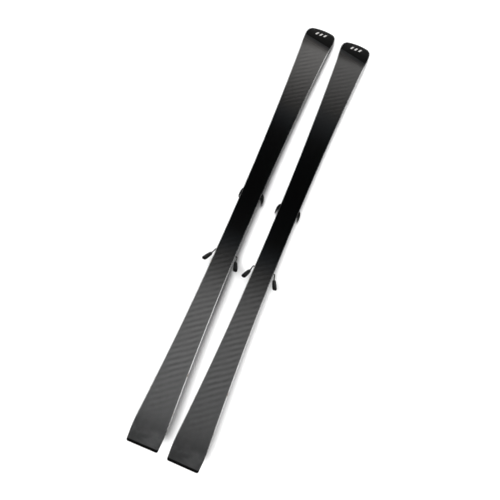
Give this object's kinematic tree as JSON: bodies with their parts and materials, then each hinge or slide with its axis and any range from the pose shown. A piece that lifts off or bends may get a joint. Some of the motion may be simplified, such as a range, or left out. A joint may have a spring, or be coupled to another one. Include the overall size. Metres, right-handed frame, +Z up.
{
  "type": "pair of alpine skis with bindings",
  "caption": "Pair of alpine piste skis with step-in bindings and deployed ski brakes, lying base up on heel pieces and tips.",
  "frame": {"origin": "on the floor, under the middle of the pair's box", "axes": "+X towards the tips, +Y towards the left ski, +Z up out of the running bases"},
  "size_m": [1.701, 0.275, 0.1414],
  "materials": {
    "graphite_base": "satin, stone-ground structure",
    "edge_steel": "ground",
    "titanal_laminate": "bonded sheet",
    "core_wood": "laminated strips",
    "sidewall_plastic": "milled",
    "top_sheet_gloss": "lacquered",
    "cap_plastic": "moulded",
    "plate_plastic": "moulded",
    "binding_plastic": "fine moulded grain",
    "binding_grey": "moulded",
    "slide_plastic": "low friction",
    "brake_plastic": "moulded",
    "bright_steel": "plated",
    "coated_steel": "black coating on spring wire",
    "spring_steel": "oiled wire"
  },
  "bodies": {
    "left_ski": {"left_base": "graphite_base", "left_edge_inner": "edge_steel", "left_edge_outer": "edge_steel", "left_lower_laminate": "titanal_laminate", "left_core": "core_wood", "left_sidewall_inner": "sidewall_plastic", "left_sidewall_outer": "sidewall_plastic", "left_top_sheet": "top_sheet_gloss", "left_tip_protector": "cap_plastic", "left_tail_protector": "cap_plastic", "left_binding_plate": "plate_plastic", "left_toe_base": "binding_plastic", "left_toe_housing": "binding_plastic", "left_toe_spring": "spring_steel"},
    "left_toe_wing_inner": {"left_toe_wing_inner": "binding_plastic"},
    "left_toe_wing_outer": {"left_toe_wing_outer": "binding_plastic"},
    "left_afd_plate": {"left_afd_plate": "slide_plastic"},
    "left_toe_release_screw": {"left_toe_release_screw": "bright_steel"},
    "left_heel_carriage": {"left_heel_base": "binding_plastic", "left_brake_bracket": "binding_plastic"},
    "left_heel_jaw": {"left_heel_housing": "binding_plastic", "left_heel_cup": "binding_grey", "left_heel_spring": "spring_steel"},
    "left_heel_lever": {"left_heel_lever": "binding_grey"},
    "left_heel_release_screw": {"left_heel_release_screw": "bright_steel"},
    "left_brake_arms": {"left_brake_arm_inner": "coated_steel", "left_brake_arm_outer": "coated_steel", "left_brake_foot_inner": "brake_plastic", "left_brake_foot_outer": "brake_plastic"},
    "left_brake_pedal": {"left_brake_pedal": "brake_plastic"},
    "right_ski": {"right_base": "graphite_base", "right_edge_inner": "edge_steel", "right_edge_outer": "edge_steel", "right_lower_laminate": "titanal_laminate", "right_core": "core_wood", "right_sidewall_inner": "sidewall_plastic", "right_sidewall_outer": "sidewall_plastic", "right_top_sheet": "top_sheet_gloss", "right_tip_protector": "cap_plastic", "right_tail_protector": "cap_plastic", "right_binding_plate": "plate_plastic", "right_toe_base": "binding_plastic", "right_toe_housing": "binding_plastic", "right_toe_spring": "spring_steel"},
    "right_toe_wing_inner": {"right_toe_wing_inner": "binding_plastic"},
    "right_toe_wing_outer": {"right_toe_wing_outer": "binding_plastic"},
    "right_afd_plate": {"right_afd_plate": "slide_plastic"},
    "right_toe_release_screw": {"right_toe_release_screw": "bright_steel"},
    "right_heel_carriage": {"right_heel_base": "binding_plastic", "right_brake_bracket": "binding_plastic"},
    "right_heel_jaw": {"right_heel_housing": "binding_plastic", "right_heel_cup": "binding_grey", "right_heel_spring": "spring_steel"},
    "right_heel_lever": {"right_heel_lever": "binding_grey"},
    "right_heel_release_screw": {"right_heel_release_screw": "bright_steel"},
    "right_brake_arms": {"right_brake_arm_inner": "coated_steel", "right_brake_arm_outer": "coated_steel", "right_brake_foot_inner": "brake_plastic", "right_brake_foot_outer": "brake_plastic"},
    "right_brake_pedal": {"right_brake_pedal": "brake_plastic"}
  },
  "joints": [
    {"name": "left_toe_wing_inner_turn", "type": "hinge", "parent": "left_ski", "child": "left_toe_wing_inner", "pos_m": [0.05897, 0.05481, 0.03498], "axis": [0.0432, 0.0003, 0.9991], "range_deg": [0, 30]},
    {"name": "left_toe_wing_outer_turn", "type": "hinge", "parent": "left_ski", "child": "left_toe_wing_outer", "pos_m": [0.05874, 0.08981, 0.03498], "axis": [-0.0432, -0.0003, -0.9991], "range_deg": [0, 30]},
    {"name": "left_afd_slide", "type": "slide", "parent": "left_ski", "child": "left_afd_plate", "axis": [0.0066, -1, 0], "range_m": [-0.006, 0.006]},
    {"name": "left_toe_screw_turn", "type": "hinge", "parent": "left_ski", "child": "left_toe_release_screw", "pos_m": [0.13506, 0.07282, 0.03819], "axis": [0.999, 0.0066, -0.0432], "range_deg": [-180, 180]},
    {"name": "left_heel_slide", "type": "slide", "parent": "left_ski", "child": "left_heel_carriage", "axis": [0.999, 0.0066, -0.0432], "range_m": [-0.015, 0.015]},
    {"name": "left_heel_opening", "type": "hinge", "parent": "left_heel_carriage", "child": "left_heel_jaw", "pos_m": [-0.34257, 0.06965, 0.05684], "axis": [-0.0066, 1, 0], "range_deg": [0, 38]},
    {"name": "left_heel_lever_turn", "type": "hinge", "parent": "left_heel_jaw", "child": "left_heel_lever", "pos_m": [-0.30621, 0.06989, 0.01824], "axis": [-0.0066, 1, 0], "range_deg": [0, 14]},
    {"name": "left_heel_screw_turn", "type": "hinge", "parent": "left_heel_jaw", "child": "left_heel_release_screw", "pos_m": [-0.36331, 0.06951, 0.05174], "axis": [-0.999, -0.0066, 0.0432], "range_deg": [-180, 180]},
    {"name": "left_brake_retract", "type": "hinge", "parent": "left_heel_carriage", "child": "left_brake_arms", "pos_m": [-0.19519, 0.07062, 0.06248], "axis": [0.0066, -1, 0], "range_deg": [0, 50], "stiffness_Nm_per_rad": 0.8, "springref_deg": -34.38},
    {"name": "left_brake_pedal_turn", "type": "hinge", "parent": "left_brake_arms", "child": "left_brake_pedal", "pos_m": [-0.17714, 0.07075, 0.04018], "axis": [0.0066, -1, 0], "range_deg": [-31, 0]},
    {"name": "right_ski_slide", "type": "slide", "parent": "left_ski", "child": "right_ski", "axis": [0, -1, 0], "range_m": [0, 0.2]},
    {"name": "right_toe_wing_inner_turn", "type": "hinge", "parent": "right_ski", "child": "right_toe_wing_inner", "pos_m": [0.05297, -0.05481, 0.03498], "axis": [-0.0432, 0.0003, -0.9991], "range_deg": [0, 30]},
    {"name": "right_toe_wing_outer_turn", "type": "hinge", "parent": "right_ski", "child": "right_toe_wing_outer", "pos_m": [0.05273, -0.08981, 0.03498], "axis": [0.0432, -0.0003, 0.9991], "range_deg": [0, 30]},
    {"name": "right_afd_slide", "type": "slide", "parent": "right_ski", "child": "right_afd_plate", "axis": [-0.0066, -1, 0], "range_m": [-0.006, 0.006]},
    {"name": "right_toe_screw_turn", "type": "hinge", "parent": "right_ski", "child": "right_toe_release_screw", "pos_m": [0.12906, -0.07282, 0.03819], "axis": [0.999, -0.0066, -0.0432], "range_deg": [-180, 180]},
    {"name": "right_heel_slide", "type": "slide", "parent": "right_ski", "child": "right_heel_carriage", "axis": [0.999, -0.0066, -0.0432], "range_m": [-0.015, 0.015]},
    {"name": "right_heel_opening", "type": "hinge", "parent": "right_heel_carriage", "child": "right_heel_jaw", "pos_m": [-0.34857, -0.06965, 0.05684], "axis": [0.0066, 1, 0], "range_deg": [0, 38]},
    {"name": "right_heel_lever_turn", "type": "hinge", "parent": "right_heel_jaw", "child": "right_heel_lever", "pos_m": [-0.31221, -0.06989, 0.01824], "axis": [0.0066, 1, 0], "range_deg": [0, 14]},
    {"name": "right_heel_screw_turn", "type": "hinge", "parent": "right_heel_jaw", "child": "right_heel_release_screw", "pos_m": [-0.36931, -0.06951, 0.05174], "axis": [-0.999, 0.0066, 0.0432], "range_deg": [-180, 180]},
    {"name": "right_brake_retract", "type": "hinge", "parent": "right_heel_carriage", "child": "right_brake_arms", "pos_m": [-0.20119, -0.07062, 0.06248], "axis": [-0.0066, -1, 0], "range_deg": [0, 50], "stiffness_Nm_per_rad": 0.8, "springref_deg": -34.38},
    {"name": "right_brake_pedal_turn", "type": "hinge", "parent": "right_brake_arms", "child": "right_brake_pedal", "pos_m": [-0.18314, -0.07075, 0.04018], "axis": [-0.0066, -1, 0], "range_deg": [-31, 0]}
  ],
  "couplings": [
    {"joint": "left_heel_lever_turn", "follows": "left_heel_opening", "ratio": 0.35},
    {"joint": "left_brake_pedal_turn", "follows": "left_brake_retract", "ratio": -0.6},
    {"joint": "right_heel_lever_turn", "follows": "right_heel_opening", "ratio": 0.35},
    {"joint": "right_brake_pedal_turn", "follows": "right_brake_retract", "ratio": -0.6}
  ]
}
